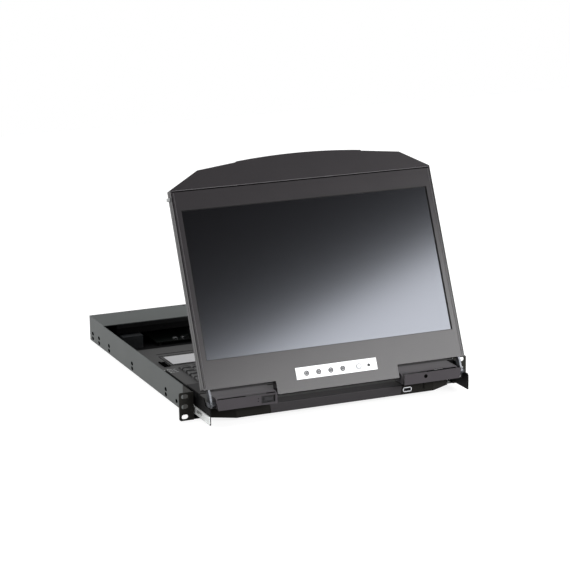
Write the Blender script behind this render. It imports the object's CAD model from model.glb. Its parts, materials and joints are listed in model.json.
import json
import math

import bpy
import bmesh
from mathutils import Matrix, Quaternion, Vector


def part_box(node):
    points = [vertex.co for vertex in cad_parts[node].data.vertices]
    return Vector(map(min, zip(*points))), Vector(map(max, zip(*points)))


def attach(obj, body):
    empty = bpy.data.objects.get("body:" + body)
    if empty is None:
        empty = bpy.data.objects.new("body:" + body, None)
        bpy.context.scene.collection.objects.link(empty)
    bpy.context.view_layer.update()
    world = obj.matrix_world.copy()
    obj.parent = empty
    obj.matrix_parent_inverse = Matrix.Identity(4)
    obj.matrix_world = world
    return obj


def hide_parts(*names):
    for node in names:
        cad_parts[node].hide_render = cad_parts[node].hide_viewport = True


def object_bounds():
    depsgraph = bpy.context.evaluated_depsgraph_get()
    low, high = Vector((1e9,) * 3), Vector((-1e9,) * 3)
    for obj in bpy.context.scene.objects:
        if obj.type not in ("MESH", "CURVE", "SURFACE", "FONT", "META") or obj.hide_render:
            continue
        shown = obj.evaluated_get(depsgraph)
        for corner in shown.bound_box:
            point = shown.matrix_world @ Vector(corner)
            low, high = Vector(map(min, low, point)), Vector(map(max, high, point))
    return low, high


# A one-unit rack drawer with a flip-up screen on a sliding carriage and a keyboard drawer below it.
# Lengths are in metres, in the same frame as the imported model, and sections follow its assembly.
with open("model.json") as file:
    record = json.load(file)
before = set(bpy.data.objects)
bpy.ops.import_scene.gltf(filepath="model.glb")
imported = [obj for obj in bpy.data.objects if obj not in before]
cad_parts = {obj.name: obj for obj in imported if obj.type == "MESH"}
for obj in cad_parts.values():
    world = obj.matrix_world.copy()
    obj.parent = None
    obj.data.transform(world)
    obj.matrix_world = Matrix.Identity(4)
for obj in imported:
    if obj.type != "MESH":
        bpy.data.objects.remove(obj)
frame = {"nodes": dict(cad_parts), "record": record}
cad_low, cad_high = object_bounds()
mm = 0.001

# ---- Housing tray and rear cover ---------------------------------------------------------------
# Folded sheet steel, powder coated in a mid grey. The coat is baked from dry powder, which leaves
# a fine orange peel and a dull satin sheen. The two parts are screwed together.


def linear(hex_colour):
    """An sRGB hex colour as linear red, green, blue and full alpha."""
    values = [int(hex_colour[i:i + 2], 16) / 255 for i in (0, 2, 4)]
    return [v / 12.92 if v <= 0.04045 else ((v + 0.055) / 1.055) ** 2.4 for v in values] + [1.0]


def node(tree, kind, inputs=None, **settings):
    """Adds a node with its settings; inputs are values, or sockets to link from."""
    made = tree.nodes.new(kind)
    for name, value in settings.items():
        setattr(made, name, value)
    for name, value in (inputs or {}).items():
        if isinstance(value, bpy.types.NodeSocket):
            tree.links.new(value, made.inputs[name])
        else:
            made.inputs[name].default_value = value
    return made


def material(name, **sockets):
    """A new material with values on its shader; returns it, its node tree, shader and position."""
    made = bpy.data.materials.new(name)
    made.use_nodes = True
    tree = made.node_tree
    shader = tree.nodes["Principled BSDF"]
    for socket, value in sockets.items():
        shader.inputs[socket.replace("_", " ")].default_value = value
    place = node(tree, "ShaderNodeTexCoord").outputs["Object"]
    return made, tree, shader, place


def round_edges(thing, radius):
    """Rounds the sharp edges of a piece by its real edge radius; returns the modifier."""
    edge = thing.modifiers.new("edge radius", "BEVEL")
    edge.width = radius
    edge.segments = 2
    edge.limit_method = "ANGLE"
    edge.angle_limit = math.radians(40)
    return edge


def finish(names, made, radius=0.0):
    """Gives CAD nodes a material, and rounds their edges."""
    for name in names:
        part = frame["nodes"][name]
        part.data.materials.clear()
        part.data.materials.append(made)
        if radius:
            round_edges(part, radius).harden_normals = True


def overpaint(made, where, colour):
    """Covers a material with another colour where a mask is one."""
    tree = made.node_tree
    shader = tree.nodes["Principled BSDF"]
    under = shader.inputs["Base Color"].links[0].from_socket
    over = node(tree, "ShaderNodeMix", {"Factor": where, "A": under, "B": linear(colour)}, data_type="RGBA")
    tree.links.new(over.outputs["Result"], shader.inputs["Base Color"])


def powder_coat(name, light, dark, roughness, peel, gloss=0.25):
    """Baked powder coat on steel: two close shades in soft patches over an orange peel."""
    made, tree, shader, place = material(name, Roughness=roughness, Specular_IOR_Level=gloss)
    patches = node(tree, "ShaderNodeTexNoise", {"Vector": place, "Scale": 1 / (60 * mm), "Detail": 3.0})
    shade = node(tree, "ShaderNodeMix", {"Factor": patches.outputs["Fac"], "A": linear(light),
                                         "B": linear(dark)}, data_type="RGBA")
    grain = node(tree, "ShaderNodeTexNoise", {"Vector": place, "Scale": 1 / peel, "Detail": 2.0})
    bump = node(tree, "ShaderNodeBump", {"Height": grain.outputs["Fac"], "Strength": 0.25,
                                         "Distance": 0.08 * mm})
    tree.links.new(shade.outputs["Result"], shader.inputs["Base Color"])
    tree.links.new(bump.outputs["Normal"], shader.inputs["Normal"])
    return made


# Orange peel is about 0.8 mm across, drawn at 1.6 mm so that it shows.
orange_peel = 1.6 * mm
housing_coat = powder_coat("grey powder coat", "555958", "4b4f4e", 0.48, orange_peel)
finish(["housing_tray", "rear_cover"], housing_coat, 0.25 * mm)

# The inside of the tray is left in its black primer. The walls are 1.2 mm thick, and the mask
# turns in the middle of them, just under their upper edge.
half_wall = 0.6 * mm
under_edge = 0.1 * mm
tree = housing_coat.node_tree
tray_low, tray_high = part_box("housing_tray")
axes = node(tree, "ShaderNodeSeparateXYZ", {"Vector": node(tree, "ShaderNodeTexCoord").outputs["Object"]})
aside = node(tree, "ShaderNodeMath", {0: axes.outputs["X"]}, operation="ABSOLUTE")
inside = 1.0
for place, test, limit in ((aside.outputs["Value"], "LESS_THAN", tray_high[0] - half_wall),
                           (axes.outputs["Z"], "GREATER_THAN", tray_low[2] + half_wall),
                           (axes.outputs["Z"], "LESS_THAN", tray_high[2] - under_edge),
                           (axes.outputs["Y"], "LESS_THAN", tray_high[1] - half_wall)):
    met = node(tree, "ShaderNodeMath", {0: place, 1: limit}, operation=test).outputs["Value"]
    inside = node(tree, "ShaderNodeMath", {0: inside, 1: met}, operation="MULTIPLY").outputs["Value"]
overpaint(housing_coat, inside, "0e0e0f")

# ---- Rack ears ---------------------------------------------------------------------------------
# 2 mm steel angles, slotted for the rack screws and screwed to the tray's side walls. They are
# powder coated black, and the coat catches light along the punched edges.
ear_coat = powder_coat("black powder coat", "302f2c", "272624", 0.5, orange_peel, 0.06)
finish(["ear_left", "ear_right"], ear_coat, 0.25 * mm)

# ---- Screws in the housing ---------------------------------------------------------------------
# M3 countersunk screws of blackened steel with a cross recess, which hold the ears and the cover.
# The oxide is nearly matt, with a faint mottle from handling.


def mottled(name, first, second, patch, detail=2.0, **sockets):
    """A material whose colour drifts between two shades, in patches of a real size."""
    made, tree, shader, place = material(name, **sockets)
    drift = node(tree, "ShaderNodeTexNoise", {"Vector": place, "Scale": 1 / patch, "Detail": detail})
    tone = node(tree, "ShaderNodeValToRGB", {"Fac": drift.outputs["Fac"]})
    tone.color_ramp.elements[0].color = linear(first)
    tone.color_ramp.elements[1].color = linear(second)
    tree.links.new(tone.outputs["Color"], shader.inputs["Base Color"])
    return made


black_oxide = mottled("black oxide screw", "0c0c0c", "1c1c1b", 2 * mm, Metallic=0.3, Roughness=0.45)
recess_black = mottled("soot-black oxide", "040404", "0a0a0a", 1 * mm, Roughness=0.9, Specular_IOR_Level=0.0)
finish(["housing_screws"], black_oxide)


def solids(name):
    """Lowest and highest corner of each separate solid of a CAD node."""
    mesh = bmesh.new()
    mesh.from_mesh(frame["nodes"][name].data)
    bmesh.ops.remove_doubles(mesh, verts=mesh.verts, dist=0.005 * mm)
    left = set(mesh.verts)
    boxes = []
    while left:
        found = [left.pop()]
        for vertex in found:
            near = {edge.other_vert(vertex) for edge in vertex.link_edges} & left
            left -= near
            found += near
        spots = [vertex.co for vertex in found]
        boxes.append((Vector([min(spot[i] for spot in spots) for i in range(3)]),
                      Vector([max(spot[i] for spot in spots) for i in range(3)])))
    mesh.free()
    return sorted(boxes, key=lambda box: tuple(round(value, 5) for value in box[0]))


def ring(radius, height, flats=20):
    """A level loop of points round the origin."""
    turns = [2 * math.pi * i / flats for i in range(flats)]
    return [(radius * math.cos(turn), radius * math.sin(turn), height) for turn in turns]


def oval(width, height, level):
    """A level oval loop, drawn wide across its own X axis."""
    return [(x * width, y * height, level) for x, y, z in ring(1.0, 0)]


def cross(reach, half, height):
    """A level cross-shaped loop of points round the origin."""
    quarter = [(reach, half), (half, half), (half, reach)]
    return [(x * c - y * s, x * s + y * c, height) for c, s in ((1, 0), (0, 1), (-1, 0), (0, -1))
            for x, y in quarter]


def stack(outline, *rows):
    """Level loops of one outline, from rows of its sizes and then its level, in millimetres."""
    return [outline(*(size * mm for size in row)) for row in rows]


def shell(loops, place=Matrix()):
    """A closed skin through loops of equally many points, put in its place."""
    count = len(loops[0])
    corners = [place @ Vector(corner) for loop in loops for corner in loop]
    last = (len(loops) - 1) * count
    faces = [[i + j, i + (j + 1) % count, i + count + (j + 1) % count, i + count + j]
             for i in range(0, last, count) for j in range(count)]
    faces += [list(reversed(range(count))), [last + j for j in range(count)]]
    return corners, faces


def facing(spot, normal):
    """The place of a piece whose own Z axis points along a normal."""
    place = Vector(normal).to_track_quat("Z", "Y").to_matrix().to_4x4()
    place.translation = spot
    return place


def piece(name, made, body, shells, radius=0.0):
    """Makes one piece from skins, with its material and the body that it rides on."""
    mesh = bpy.data.meshes.new(name)
    points, faces = [], []
    for corners, skin in shells:
        faces += [[len(points) + i for i in face] for face in skin]
        points += corners
    mesh.from_pydata(points, [], faces)
    mesh.materials.append(made)
    thing = bpy.data.objects.new(name, mesh)
    bpy.context.scene.collection.objects.link(thing)
    if radius:
        round_edges(thing, radius)
    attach(thing, body)
    return thing


# A thin rim stands 0.05 mm above each head, with a black cross recess inside it. Screws through
# the side walls also sit in oval dimples, pressed into the sheet and drawn as black insets.
wall_band = 3 * mm
dimple_band = 12 * mm
cover_band = 1 * mm
rims, recesses, dimples = [], [], []
for low, high in solids("housing_screws"):
    middle = (low + high) / 2
    side = math.copysign(1.0, middle.x)
    if abs(middle.x) > tray_high[0] - wall_band:
        head = facing((low.x if side < 0 else high.x, middle.y, middle.z), (side, 0, 0))
        radius = (high.y - low.y) / 2
    else:
        head = facing((middle.x, middle.y, high.z), (0, 0, 1))
        radius = (high.x - low.x) / 2
    rims.append(shell([ring(radius, -0.1 * mm), ring(radius, 0.02 * mm),
                       ring(radius - 0.3 * mm, 0.05 * mm), ring(radius - 0.5 * mm, -0.05 * mm)], head))
    recesses.append(shell(stack(cross, (1.5, 0.35, -0.1), (1.5, 0.35, 0.03), (1.2, 0.25, 0.01)), head))
    if min(abs(low.x), abs(high.x)) > tray_high[0] - dimple_band and high.z < tray_high[2] - cover_band:
        spot = facing((side * tray_high[0], middle.y, middle.z), (side, 0, 0))
        dimples.append(shell(stack(oval, (5.0, 3.3, -0.1), (5.0, 3.3, 0.02), (4.4, 2.9, 0.05)), spot))
piece("screw_dimples", recess_black, "housing", dimples)
piece("housing_screw_rims", black_oxide, "housing", rims)
piece("housing_screw_recesses", recess_black, "housing", recesses)

# ---- Slides and runners ------------------------------------------------------------------------
# Roll-formed steel strip with a bright zinc plating. Rolling leaves fine lines along the length,
# drawn 0.8 mm apart so that they show, and the clear passivation turns the zinc faintly cool.
zinc, tree, shader, place = material("bright zinc plating", Metallic=0.2, Roughness=0.42)
along = node(tree, "ShaderNodeMapping", {"Vector": place, "Scale": (1.0, 0.02, 1.0)})
lines = node(tree, "ShaderNodeTexNoise", {"Vector": along.outputs["Vector"], "Scale": 1 / (0.8 * mm),
                                          "Detail": 4.0})
tone = node(tree, "ShaderNodeValToRGB", {"Fac": lines.outputs["Fac"]})
tone.color_ramp.elements[0].position = 0.3
tone.color_ramp.elements[0].color = linear("f4f8f6")
tone.color_ramp.elements[1].position = 0.7
tone.color_ramp.elements[1].color = linear("fdfefd")
groove = node(tree, "ShaderNodeBump", {"Height": lines.outputs["Fac"], "Strength": 0.2,
                                       "Distance": 0.02 * mm})
tree.links.new(tone.outputs["Color"], shader.inputs["Base Color"])
tree.links.new(groove.outputs["Normal"], shader.inputs["Normal"])
finish(["screen_rails_outer", "screen_rails_inner", "keyboard_rails_outer", "keyboard_rails_middle",
        "keyboard_rails_inner", "latch_left", "latch_right"], zinc, 0.15 * mm)
finish(["carriage_rivets"], zinc)

# Four slots are pierced through the front of each inner slide, 1.6 mm wide, 5 mm high and 5 mm
# apart, a little above its middle line.
slide_low, slide_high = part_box("screen_rails_inner")
slot_line = (slide_low[2] + slide_high[2]) / 2 + 1.2 * mm


def oblong(width, height, level, flats=6):
    """A level loop with round ends, long along its own Y axis."""
    reach = height / 2 - width / 2
    turns = [math.pi * i / flats for i in range(flats + 1)]
    top = [(width / 2 * math.cos(turn), reach + width / 2 * math.sin(turn), level) for turn in turns]
    return top + [(-x, -y, z) for x, y, z in top]


pierced = []
for side in (-1, 1):
    for ahead in (12, 17, 22, 27):
        spot = facing((side * slide_high[0], -ahead * mm, slot_line), (side, 0, 0))
        pierced.append(shell(stack(oblong, (1.6, 5.0, -0.2), (1.6, 5.0, 0.02), (1.3, 4.7, 0.03)), spot))
piece("slide_slots", recess_black, "carriage", pierced)

# ---- Electronics at the back -------------------------------------------------------------------
# A black steel cover over a mains supply in a folded aluminium case and a lacquered board. The
# sockets reach through the rear wall: nickel-plated shells, a black thermoplastic inlet and rocker.
plate_coat = powder_coat("matt black powder coat", "151515", "0f0f10", 0.5, orange_peel, 0.06)
finish(["electronics_cover", "keyboard_rail_brackets", "keyboard_tray", "switch_plate"], plate_coat,
       0.2 * mm)
dark_aluminium = mottled("dark anodised aluminium", "343638", "46494b", 5 * mm, 5.0,
                         Metallic=0.5, Roughness=0.5)
finish(["power_supply"], dark_aluminium, 0.3 * mm)

# Copper tracks show through the lacquer as faint lines, 2 mm apart.
solder_mask, tree, shader, place = material("black solder mask", Roughness=0.4, Specular_IOR_Level=0.3)
tracks = node(tree, "ShaderNodeTexBrick", {"Vector": place, "Scale": 1.0, "Mortar": linear("1a201e"),
                                           "Color1": linear("0d100f"), "Color2": linear("0b0d0c"),
                                           "Mortar Size": 0.25 * mm, "Brick Width": 9 * mm,
                                           "Row Height": 2 * mm})
tree.links.new(tracks.outputs["Color"], shader.inputs["Base Color"])
finish(["interface_board", "screen_boards"], solder_mask)

nickel_metallic = 0.9
nickel = mottled("nickel plating", "bdbec2", "d2d3d6", 3 * mm, Metallic=nickel_metallic, Roughness=0.28)
finish(["usb_port"], nickel, 0.12 * mm)

# The switch body beside the inlet is black thermoplastic, in one node with the plated sockets, so
# its colour and its lack of metal are masked in round the rocker.
socket_plating = nickel.copy()
socket_plating.name = "nickel plating and black switch body"
tree = socket_plating.node_tree
rocker_low, rocker_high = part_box("rocker_switch")
body_middle = (rocker_low[0] + rocker_high[0]) / 2
body_reach = 13 * mm
across = node(tree, "ShaderNodeSeparateXYZ", {"Vector": node(tree, "ShaderNodeTexCoord").outputs["Object"]})
body = node(tree, "ShaderNodeMath", {0: across.outputs["X"], 1: body_middle, 2: body_reach},
            operation="COMPARE").outputs["Value"]
overpaint(socket_plating, body, "161617")
metal = node(tree, "ShaderNodeMath", {0: body, 1: -nickel_metallic, 2: nickel_metallic},
             operation="MULTIPLY_ADD")
tree.links.new(metal.outputs["Value"], tree.nodes["Principled BSDF"].inputs["Metallic"])
finish(["rear_connectors"], socket_plating, 0.12 * mm)


def moulded(name, light, dark, roughness, grain, depth, gloss=0.3):
    """Injection-moulded plastic: a spark-eroded mould leaves an even grain on a dull skin."""
    made, tree, shader, place = material(name, Roughness=roughness, Specular_IOR_Level=gloss)
    texture = node(tree, "ShaderNodeTexNoise", {"Vector": place, "Scale": 1 / grain, "Detail": 1.0})
    patches = node(tree, "ShaderNodeTexNoise", {"Vector": place, "Scale": 1 / (45 * mm), "Detail": 2.0})
    both = node(tree, "ShaderNodeMath", {0: texture.outputs["Fac"], 1: patches.outputs["Fac"]},
                operation="MULTIPLY")
    shade = node(tree, "ShaderNodeMix", {"Factor": both.outputs["Value"], "A": linear(dark),
                                         "B": linear(light)}, data_type="RGBA")
    bump = node(tree, "ShaderNodeBump", {"Height": texture.outputs["Fac"], "Strength": 0.35,
                                         "Distance": depth})
    tree.links.new(shade.outputs["Result"], shader.inputs["Base Color"])
    tree.links.new(bump.outputs["Normal"], shader.inputs["Normal"])
    return made


thermoplastic = moulded("black thermoplastic", "1c1c1d", "121213", 0.45, 1.0 * mm, 0.03 * mm)
finish(["power_inlet", "rocker_switch"], thermoplastic, 0.3 * mm)

# Five headers stand along the front edge of the board, each a tin-plated shell with a dark mouth.
# The board's face is 6.6 mm above the feet of its standoffs.
tin = mottled("matt tin plating", "b4b6b8", "d0d2d4", 2 * mm, Metallic=0.9, Roughness=0.4)
board_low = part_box("interface_board")[0]
board_face = board_low[2] + 6.6 * mm
header_line = board_low[1] + 3 * mm


def rounded(width, height, corner, level, steps=3):
    """A level rectangular loop with rounded corners round the origin."""
    loop = []
    for c, s in ((1, 1), (-1, 1), (-1, -1), (1, -1)):
        start = {(1, 1): 0, (-1, 1): 90, (-1, -1): 180, (1, -1): 270}[(c, s)]
        for i in range(steps + 1):
            turn = math.radians(start + 90 * i / steps)
            loop.append((c * (width / 2 - corner) + corner * math.cos(turn),
                         s * (height / 2 - corner) + corner * math.sin(turn), level))
    return loop


shells, mouths = [], []
for x, width in ((-96, 7), (-82, 4), (-62, 10), (-28, 12), (44, 10)):
    front = facing((x * mm, header_line, board_face + 1.6 * mm), (0, -1, 0))
    shells.append(shell(stack(rounded, (width, 3.2, 0.6, -7), (width, 3.2, 0.6, 0)), front))
    mouth = stack(rounded, (width - 1.2, 2.0, 0.4, -1), (width - 1.2, 2.0, 0.4, 0.03))
    mouths.append(shell(mouth, front))
piece("board_headers", tin, "housing", shells, 0.2 * mm)
piece("board_header_mouths", recess_black, "housing", mouths)

# ---- Carriage ----------------------------------------------------------------------------------
# Black side plates riveted to a grey plate and two folded hinge brackets. They are satin painted
# steel; hinge covers are moulded ABS that hide the friction barrels.
finish(["side_plates"], plate_coat, 0.25 * mm)
bracket_paint = powder_coat("satin dark grey paint", "464246", "3b383b", 0.36, orange_peel, 0.22)
finish(["hinge_bracket_left", "hinge_bracket_right"], bracket_paint, 0.3 * mm)
plate_paint = powder_coat("satin black paint", "1f1e1f", "181718", 0.45, orange_peel, 0.1)
finish(["carriage_plate"], plate_paint, 0.3 * mm)
cover_plastic = moulded("dark grey ABS", "615d61", "525053", 0.46, 1.0 * mm, 0.03 * mm, 0.2)
finish(["hinge_covers"], cover_plastic, 0.3 * mm)
barrel_paint = powder_coat("black baked enamel", "161616", "0e0e0e", 0.5, orange_peel, 0.06)
finish(["hinge_barrels"], barrel_paint, 0.15 * mm)

# A black moulded latch guide fills the window of the left bracket, dished round a flat pad.
guide_black = moulded("black acetal", "151415", "0f0e0f", 0.4, 1.0 * mm, 0.02 * mm)
guide_grey = moulded("worn black acetal", "2a292c", "222124", 0.35, 1.0 * mm, 0.02 * mm)
bracket_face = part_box("hinge_bracket_left")[0][1]
window_x = -120.15 * mm
window_z = 13.4 * mm
window = facing((window_x, bracket_face, window_z), (0, -1, 0))
guide = shell(stack(rounded, (22.4, 11.3, 0.4, -2.8), (22.4, 11.3, 0.4, -0.3),
                    (20.8, 9.8, 0.4, -0.3), (20.2, 9.2, 0.4, -2.2)), window)
piece("latch_guide", guide_black, "carriage", [guide], 0.15 * mm)
pad = shell(stack(rounded, (14.6, 5.2, 0.8, -2.5), (14.6, 5.2, 0.8, -1.2), (13.6, 4.2, 0.6, -0.9)),
            window @ Matrix.Translation((0.8 * mm, -0.4 * mm, 0)))
piece("latch_guide_pad", guide_grey, "carriage", [pad])

# A pressed dimple surrounds the bracket's screw on the right, and two small ones mark the left.
dimples = []
for x, z, radius in ((142, 15.0, 3.0), (-136.5, 15.8, 0.8), (-136.5, 11.6, 0.8)):
    spot = facing((x * mm, bracket_face, z * mm), (0, -1, 0))
    dimples.append(shell(stack(ring, (radius, -0.4), (radius, 0.03), (radius * 0.8, 0.06),
                               (radius * 0.6, 0.02)), spot))
piece("bracket_dimples", recess_black, "carriage", dimples)

# ---- Screen shell ------------------------------------------------------------------------------
# Front bezel, rear shell and the bowed grip along the top edge, all moulded in dark grey ABS with
# a fine spark-eroded grain. The edges that face the hinge are black.
joints = {joint["name"]: joint for joint in frame["record"]["behaviour"]["joints"]}
inward = Vector(joints["osd_button_1_press"]["axis"])
rise = Vector((0, -inward.z, inward.y))
leaning = Matrix(((1, 0, 0), inward, rise)).transposed().to_4x4()
leaning.translation = Vector(joints["screen_hinge"]["pos_m"])

# Places on the screen are measured across it, in from the hinge line, and up its face.
bezel_face = -6 * mm
half_screen = 217 * mm
foot_line = 21.4 * mm
bezel_top = 325.2 * mm

shell_plastic = moulded("fine grain ABS", "373436", "2f2d2f", 0.195, 1.0 * mm, 0.01 * mm, 0.18)
tree = shell_plastic.node_tree
outward = node(tree, "ShaderNodeTexCoord").outputs["Normal"]
downward = node(tree, "ShaderNodeVectorMath", {0: outward, 1: -rise}, operation="DOT_PRODUCT")
under = node(tree, "ShaderNodeMath", {0: downward.outputs["Value"], 1: 0.8}, operation="GREATER_THAN")
overpaint(shell_plastic, under.outputs["Value"], "060606")
finish(["screen_bezel", "screen_back_cover", "screen_handle"], shell_plastic, 0.4 * mm)

# Rounded beads run up the bezel 4 mm from its sides and along the foot of the grip, beside narrow
# grooves. Handling has polished them, so they are a shade lighter than the skin.
worn_plastic = moulded("polished ABS edge", "454245", "3d3a3d", 0.3, 1.0 * mm, 0.005 * mm)
groove_black = moulded("black foam seal", "0b0b0c", "070708", 0.8, 0.6 * mm, 0.02 * mm, 0.0)


def bead(start, end, radius, bulge, flats=8):
    """A half-round bead on the bezel face from one point to another, tapered at its ends."""
    start, end = (Vector((x, bezel_face, z)) for x, z in (start, end))
    outward = Vector((0, 1, 0))
    aside = (end - start).normalized().cross(outward)
    turns = [math.pi * i / flats for i in range(flats + 1)]
    loops = []
    for along, size in ((0, 0.4), (0.004, 0.9), (0.01, 1.0), (0.99, 1.0), (0.996, 0.9), (1, 0.4)):
        middle = start.lerp(end, along)
        loops.append([middle + aside * radius * size * math.cos(turn)
                      - outward * (bulge * size * math.sin(turn) - 0.1 * mm) for turn in turns])
    return shell(loops, leaning)


end_gap = 1.5 * mm
low, high = foot_line + end_gap, bezel_top - end_gap
beads, grooves = [], []
for side in (-1, 1):
    for shells, inset, radius, bulge in ((beads, 4.2, 0.7, 0.5), (grooves, 1.2, 0.9, 0.12)):
        x = side * (half_screen - inset * mm)
        shells.append(bead((x, low), (x, high), radius * mm, bulge * mm))
reach = half_screen - 1 * mm
for shells, above, radius, bulge in ((beads, 1.1, 0.6, 0.45), (grooves, -0.4, 0.8, 0.32)):
    z = bezel_top + above * mm
    shells.append(bead((-reach, z), (reach, z), radius * mm, bulge * mm))
piece("shell_beads", worn_plastic, "screen", beads)
piece("shell_grooves", groove_black, "screen", grooves)

# ---- Hinge arms --------------------------------------------------------------------------------
# Pressed steel arms that turn on the hinge pins and carry the screen. Their dull zinc plating has
# a faint spangle, about 3 mm across.
arm_zinc, tree, shader, place = material("dull zinc plating", Metallic=0.7, Roughness=0.42)
spangle = node(tree, "ShaderNodeTexVoronoi", {"Vector": place, "Scale": 1 / (3 * mm)})
tone = node(tree, "ShaderNodeValToRGB", {"Fac": spangle.outputs["Distance"]})
tone.color_ramp.elements[0].color = linear("5c5e62")
tone.color_ramp.elements[1].color = linear("4a4c50")
tree.links.new(tone.outputs["Color"], shader.inputs["Base Color"])
finish(["hinge_arms"], arm_zinc, 0.3 * mm)
finish(["hinge_pins"], arm_zinc)

# ---- Display panel -----------------------------------------------------------------------------
# The polariser of an unlit liquid crystal panel: nearly black, with a slight haze that blurs the
# reflections and an anti-reflective coat that turns them faintly blue.
polariser = mottled("coated polariser", "080708", "0b0a0c", 90 * mm, Roughness=0.135,
                    Specular_Tint=linear("eef3ff"))
finish(["lcd_panel"], polariser)

# The black mask round the picture is printed under the glass, 1 to 2 mm wide.
sill = 64.8 * mm
picture_top = 295.2 * mm
half_picture = 204.9 * mm
glass = -4 * mm
mask_ink = moulded("black ink under glass", "070708", "040405", 0.3, 1.0 * mm, 0.002 * mm, 0.1)
mask = []
for x0, x1, z0, z1 in ((-half_picture, -half_picture + 1.4 * mm, sill, picture_top),
                       (half_picture - 2 * mm, half_picture, sill, picture_top),
                       (-half_picture, half_picture, sill, sill + 1.0 * mm),
                       (-half_picture, half_picture, picture_top - 1.2 * mm, picture_top)):
    outline = [(x0, z0), (x1, z0), (x1, z1), (x0, z1)]
    mask.append(shell([[(x, glass - level * mm, z) for x, z in outline] for level in (-0.1, 0.08)], leaning))
piece("picture_mask", mask_ink, "screen", mask)

# ---- Control strip and its buttons -------------------------------------------------------------
# A white moulded strip that clips to the bezel, four menu buttons of silicone rubber, a moulded
# power button and a smoked lens over the status light.
strip_plastic = mottled("white polycarbonate", "eef0f2", "f6f7f8", 20 * mm, Roughness=0.3, IOR=1.58)
finish(["control_strip"], strip_plastic, 0.3 * mm)
button_rubber = moulded("grey silicone rubber", "97989b", "88898c", 0.45, 0.8 * mm, 0.01 * mm)
finish(["osd_button_1", "osd_button_2", "osd_button_3", "osd_button_4"], button_rubber)
power_plastic = moulded("pearl polycarbonate", "e6e8ec", "d8dade", 0.3, 0.8 * mm, 0.01 * mm)
finish(["power_button"], power_plastic)
lens = mottled("smoked acrylic", "202226", "34373c", 1 * mm, Roughness=0.1, IOR=1.49)
finish(["status_lens"], lens)

# Each menu button has a dark rubber collar and a moulded cross on its cap, the power button has a
# thin grey ring with a stroke through it, and the light a short printed bar beside it.
# Their places are in millimetres right of the strip's middle, all on one line.
strip_face = bezel_face - 0.6 * mm
button_line = 26.8 * mm
menu_buttons = (-50, -30, -10, 10)
power_button = 36.8
light_bar = 49.4
status_light = 53.5
collar_rubber = moulded("dark silicone rubber", "303134", "252629", 0.5, 0.8 * mm, 0.01 * mm)
print_ink = moulded("grey printing ink", "85878c", "787a7f", 0.5, 0.8 * mm, 0.002 * mm)


def on_strip(x):
    """A place on the button line of the strip's face that looks out of the screen; x is in mm."""
    turned = Matrix(((1, 0, 0), (0, 0, 1), (0, -1, 0))).transposed().to_4x4()
    turned.translation = (x * mm, strip_face, button_line)
    return leaning @ turned


for number, x in enumerate(menu_buttons, 1):
    collar = shell(stack(ring, (4.1, -0.2), (4.1, 0.2), (3.7, 0.45), (3.0, 0.45), (2.7, -0.3)), on_strip(x))
    piece("button_collar_%d" % number, collar_rubber, "screen", [collar])
    mark = shell(stack(cross, (1.5, 0.3, 0.8), (1.5, 0.3, 1.0), (1.3, 0.2, 1.05)), on_strip(x))
    piece("button_cross_%d" % number, collar_rubber, "osd_button_%d_cap" % number, [mark])
power = on_strip(power_button)
grey_ring = shell(stack(ring, (4.6, -0.2), (4.6, 0.12), (3.8, 0.12), (3.7, -0.1)), power)
piece("power_ring", print_ink, "screen", [grey_ring])
stroke = shell(stack(oblong, (0.5, 2.6, 0.8), (0.5, 2.6, 0.95)), power @ Matrix.Translation((0, 1.2 * mm, 0)))
piece("power_stroke", print_ink, "power_button_cap", [stroke])
rim = shell(stack(ring, (2.4, -0.2), (2.4, 0.15), (1.8, 0.2), (1.6, 0.05)), on_strip(status_light))
piece("status_rim", collar_rubber, "screen", [rim])
bar = shell(stack(oblong, (0.8, 2.8, -0.2), (0.8, 2.8, 0.05)),
            on_strip(light_bar) @ Matrix.Rotation(math.radians(90), 4, "Z"))
piece("status_bar", print_ink, "screen", [bar])

# ---- Keyboard drawer ---------------------------------------------------------------------------
# A moulded grey deck on a steel tray, with a three-piece handle screwed to its front: a dark grey
# grip between two black ends, the right one with a USB socket.
deck_plastic = moulded("grey ABS", "4c4c4c", "424242", 0.5, 1.2 * mm, 0.04 * mm)
finish(["keyboard_deck"], deck_plastic, 0.2 * mm)
grip_plastic = moulded("charcoal ABS", "343134", "2b292b", 0.5, 1.2 * mm, 0.04 * mm, 0.2)
finish(["handle_grip"], grip_plastic, 0.3 * mm)
end_plastic = moulded("black ABS", "272624", "1f1e1c", 0.46, 1.2 * mm, 0.04 * mm, 0.03)
finish(["handle_end_left", "handle_end_right"], end_plastic, 0.3 * mm)
catch_rubber = moulded("black rubber", "0b0b0b", "060606", 0.85, 1.0 * mm, 0.04 * mm, 0.0)
finish(["catch_left", "catch_right"], catch_rubber, 0.3 * mm)

# The socket holds a black tongue with four gold-plated contacts.
usb_low, usb_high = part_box("usb_port")
mouth_inset = 2.5 * mm
mouth = facing(((usb_low[0] + usb_high[0]) / 2, usb_low[1] + mouth_inset, (usb_low[2] + usb_high[2]) / 2),
               (0, -1, 0))
back = shell(stack(rounded, (12.2, 4.8, 0.4, -8), (12.2, 4.8, 0.4, -7)), mouth)
piece("usb_back", recess_black, "keyboard_drawer", [back])
tongue = shell(stack(rounded, (10.8, 1.8, 0.3, -7.5), (10.8, 1.8, 0.3, -0.4), (10.4, 1.3, 0.3, 0)),
               mouth @ Matrix.Translation((0, 0.9 * mm, 0)))
piece("usb_tongue", thermoplastic, "keyboard_drawer", [tongue])
gold = mottled("gold plating", "c79a48", "dcb463", 0.8 * mm, Metallic=1.0, Roughness=0.25)
contacts = [shell(stack(rounded, (1.1, 0.24, 0.1, -7), (1.1, 0.24, 0.1, -1.2)),
                  mouth @ Matrix.Translation((x * mm, -0.05 * mm, 0))) for x in (-3.5, -1, 1, 3.5)]
piece("usb_contacts", gold, "keyboard_drawer", contacts)

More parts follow.
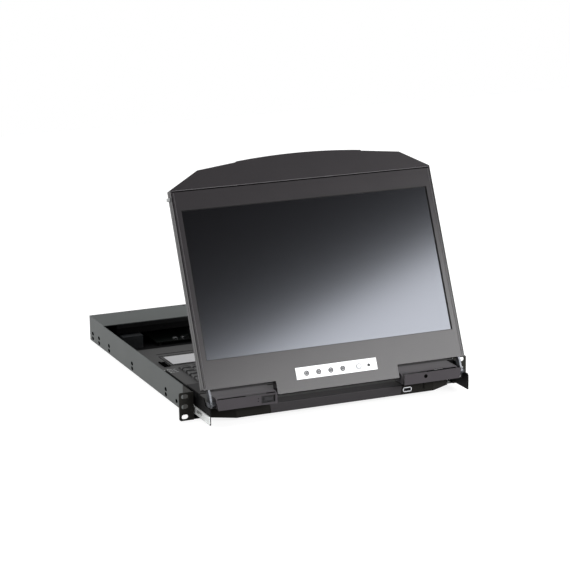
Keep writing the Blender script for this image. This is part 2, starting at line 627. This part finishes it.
# ---- Keys --------------------------------------------------------------------------------------
# Low keycaps of moulded ABS on square stems, each with a dished top and round corners. The skin
# is a little smoother than the deck's, as fingers have worn it.
key_plastic = moulded("keycap ABS", "2b2b2c", "202021", 0.38, 0.8 * mm, 0.01 * mm, 0.35)
cap_height = 4.8 * mm
stem_width = 4 * mm


def keycap(low, high):
    """A tapered keycap with a dished top over its stem, within the limits of its solid."""
    width, depth = high.x - low.x, high.y - low.y
    foot = high.z - cap_height
    middle = Matrix.Translation(((low.x + high.x) / 2, (low.y + high.y) / 2, 0))
    loops = []
    for inset, level in ((0.2, foot), (0.0, foot + 0.4 * mm), (0.9, foot + 2.4 * mm),
                         (1.5, high.z - 0.5 * mm), (1.9, high.z - 0.12 * mm), (2.4, high.z),
                         (3.4, high.z - 0.2 * mm), (5.0, high.z - 0.45 * mm)):
        corner = min(0.6 + 0.25 * inset, 1.4) * mm
        loops.append(rounded(width - 2 * inset * mm, depth - 2 * inset * mm, corner, level))
    stem = [rounded(stem_width, stem_width, 0.3 * mm, level) for level in (low.z, foot + 0.2 * mm)]
    return [shell(loops, middle), shell(stem, middle)]


for row in ("function", "number", "upper", "home", "lower", "space"):
    shells = [skin for low, high in solids("keys_" + row) for skin in keycap(low, high)]
    caps = piece("keycaps_" + row, key_plastic, "keys_%s_row" % row, shells)
    for face in caps.data.polygons:
        face.use_smooth = True
    caps.data.set_sharp_from_angle(angle=math.radians(50))
    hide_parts("keys_" + row)

# ---- Touch surface -----------------------------------------------------------------------------
# A finely frosted polyester film glued over the sensor, with two click bars in front, moulded in
# the same plastic as the keys.
touch_film = moulded("frosted polyester", "232324", "1c1c1d", 0.35, 0.6 * mm, 0.01 * mm)
finish(["touchpad"], touch_film)
finish(["touchpad_button_left", "touchpad_button_right"], key_plastic, 0.3 * mm)

# ---- Label plate and lock lights ---------------------------------------------------------------
# A bare light grey polycarbonate plate stuck in a shallow recess, and clear rods that carry the
# light of the lamps under the deck to its face.
label_film = moulded("light grey polycarbonate", "c4c4c6", "bababc", 0.35, 2.0 * mm, 0.01 * mm)
finish(["label_plate"], label_film)
clear_rod = moulded("clear acrylic rod", "e6e8e6", "d6d9d6", 0.15, 1.0 * mm, 0.01 * mm)
finish(["lock_lights"], clear_rod)

# Two moulded grooves frame the plate, 6 mm and 0.3 mm outside it.
label_low, label_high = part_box("label_plate")
deck_face = label_low[2] + 0.62 * mm
outline = []
for reach, half in ((6.0, 0.5), (0.3, 0.35)):
    x0, x1 = label_low[0] - reach * mm, label_high[0] + reach * mm
    y0, y1 = label_low[1] - reach * mm, label_high[1] + reach * mm
    for start, end in (((x0, y0), (x1, y0)), ((x1, y0), (x1, y1)),
                       ((x1, y1), (x0, y1)), ((x0, y1), (x0, y0))):
        middle = Matrix.Translation(((start[0] + end[0]) / 2, (start[1] + end[1]) / 2, deck_face))
        length, width = (abs(end[i] - start[i]) + 2 * half * mm for i in (0, 1))
        corner = half * 0.9 * mm
        outline.append(shell([rounded(length, width, corner, level * mm) for level in (-0.1, 0.03)], middle))
piece("label_grooves", recess_black, "keyboard_drawer", outline)

# Three printed bars stand beside each light.
deck_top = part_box("keyboard_deck")[1][2]
white_ink = moulded("white printing ink", "c8c9ca", "b4b5b6", 0.5, 0.5 * mm, 0.002 * mm)
marks = []
for low, high in solids("lock_lights"):
    for x, width in ((-179.5, 4.5), (-173.5, 4.5), (-189.0, 3.0)):
        spot = Matrix.Translation((x * mm, (low.y + high.y) / 2, deck_top))
        marks.append(shell(stack(rounded, (width, 1.6, 0.5, -0.1), (width, 1.6, 0.5, 0.04)), spot))
piece("lock_light_marks", white_ink, "keyboard_drawer", marks)

# ---- Floor, light and camera -------------------------------------------------------------------
# A plain white sweep under the object and a studio with a dim ceiling. A softbox low at the front
# right is mirrored in the lower corner of the panel, with weaker ones at the left, behind and above.
reach = 2.6
floor_mesh = bpy.data.meshes.new("studio_floor")
floor_mesh.from_pydata([(-reach, -reach, 0), (reach, -reach, 0), (reach, reach, 0), (-reach, reach, 0)],
                       [], [(0, 1, 2, 3)])
floor = bpy.data.objects.new("studio_floor", floor_mesh)
floor.location.z = cad_low[2]
bpy.context.scene.collection.objects.link(floor)


def seen_directly(tree, ray):
    """One where a camera, glossy or transmission ray arrives, and nought for the light that falls."""
    seen = node(tree, "ShaderNodeMath", {0: ray.outputs["Is Camera Ray"], 1: ray.outputs["Is Glossy Ray"]},
                operation="ADD").outputs["Value"]
    return node(tree, "ShaderNodeMath", {0: seen, 1: ray.outputs["Is Transmission Ray"]},
                operation="ADD", use_clamp=True).outputs["Value"]


# The paper glows only where it is seen, which brings it to white and keeps the shadow on it.
sweep, tree, paper, place = material("white studio paper", Roughness=0.9, Specular_IOR_Level=0.1)
fibres = node(tree, "ShaderNodeTexNoise", {"Vector": place, "Scale": 1 / (3 * mm), "Detail": 2.0})
lit = node(tree, "ShaderNodeMix", {"Factor": fibres.outputs["Fac"], "A": linear("9a9a9a"),
                                   "B": linear("9e9e9e")}, data_type="RGBA")
tree.links.new(lit.outputs["Result"], paper.inputs["Base Color"])
glow = node(tree, "ShaderNodeEmission", {"Color": linear("ffffff"), "Strength": 0.82})
total = node(tree, "ShaderNodeAddShader", {0: paper.outputs["BSDF"], 1: glow.outputs["Emission"]})
pick = node(tree, "ShaderNodeMixShader", {0: seen_directly(tree, node(tree, "ShaderNodeLightPath")),
                                          1: paper.outputs["BSDF"], 2: total.outputs["Shader"]})
tree.links.new(pick.outputs["Shader"], tree.nodes["Material Output"].inputs["Surface"])
floor_mesh.materials.append(sweep)

# The world is white to the camera. In reflections it is white at the horizon and dark overhead.
world = bpy.data.worlds.new("studio")
bpy.context.scene.world = world
world.use_nodes = True
tree = world.node_tree
ray = node(tree, "ShaderNodeLightPath")
sky = node(tree, "ShaderNodeTexCoord").outputs["Generated"]
height = node(tree, "ShaderNodeSeparateXYZ", {"Vector": sky}).outputs["Z"]
ceiling = node(tree, "ShaderNodeMapRange", {"Value": height, "From Min": 0.15, "From Max": 0.42,
                                            "To Min": 1.0, "To Max": 0.06})
backdrop = node(tree, "ShaderNodeMix", {"Factor": ray.outputs["Is Glossy Ray"], "A": 1.0,
                                        "B": ceiling.outputs["Result"]})
strength = node(tree, "ShaderNodeMix", {"Factor": seen_directly(tree, ray), "A": 0.25,
                                        "B": backdrop.outputs["Result"]})
tree.nodes["Background"].inputs["Color"].default_value = linear("ffffff")
tree.links.new(strength.outputs["Result"], tree.nodes["Background"].inputs["Strength"])


def softbox(name, centre, aim, size, radiance, tilt=0.0):
    """A rectangular lamp at centre that faces aim, turned in its own plane by tilt degrees."""
    lamp = bpy.data.lights.new(name, "AREA")
    lamp.shape = "RECTANGLE"
    lamp.size, lamp.size_y = size
    lamp.energy = radiance * math.pi * size[0] * size[1]
    holder = bpy.data.objects.new(name, lamp)
    holder.location = centre
    faced = (Vector(aim) - Vector(centre)).to_track_quat("-Z", "Y")
    holder.rotation_euler = (faced @ Quaternion((0, 0, 1), math.radians(tilt))).to_euler()
    bpy.context.scene.collection.objects.link(holder)


softbox("front_softbox", (1.578, -2.436, 1.128), (1.207, -1.648, 0.636), (2.0, 1.05), 15.6, 10.0)
softbox("left_softbox", (-2.7, -0.4, 1.5), (0.0, 0.1, 0.1), (1.2, 1.2), 3.3)
softbox("rear_left_softbox", (-2.2, 2.4, 0.9), (0.0, 0.2, 0.1), (1.4, 1.2), 7.0)
softbox("rear_right_softbox", (2.7, 1.8, 0.9), (0.0, 0.2, 0.1), (1.4, 1.2), 10.0)
softbox("overhead", (0.0, 0.55, 2.7), (0.0, 0.1, 0.1), (1.8, 1.8), 3.0)

# The camera looks from the front left, a little above, with a long lens and a slight roll.
azimuth = math.radians(-22.44)
elevation = math.radians(13.74)
roll = math.radians(-1.07)
looked_at = Vector((-0.06604, 0, 0.16998))
distance = 3.2461
right = Vector((math.cos(azimuth), math.sin(azimuth), 0))
back = Vector((math.sin(azimuth) * math.cos(elevation), -math.cos(azimuth) * math.cos(elevation),
               math.sin(elevation)))
up = back.cross(right)
rolled_right = right * math.cos(roll) + up * math.sin(roll)
rolled_up = up * math.cos(roll) - right * math.sin(roll)
stand = Matrix((rolled_right, rolled_up, back)).transposed().to_4x4()
stand.translation = looked_at + back * distance
long_lens = bpy.data.cameras.new("camera")
long_lens.lens = 135.6
camera = bpy.data.objects.new("camera", long_lens)
camera.matrix_world = stand
bpy.context.scene.collection.objects.link(camera)
bpy.context.scene.camera = camera
bpy.context.scene.view_settings.view_transform = "Standard"
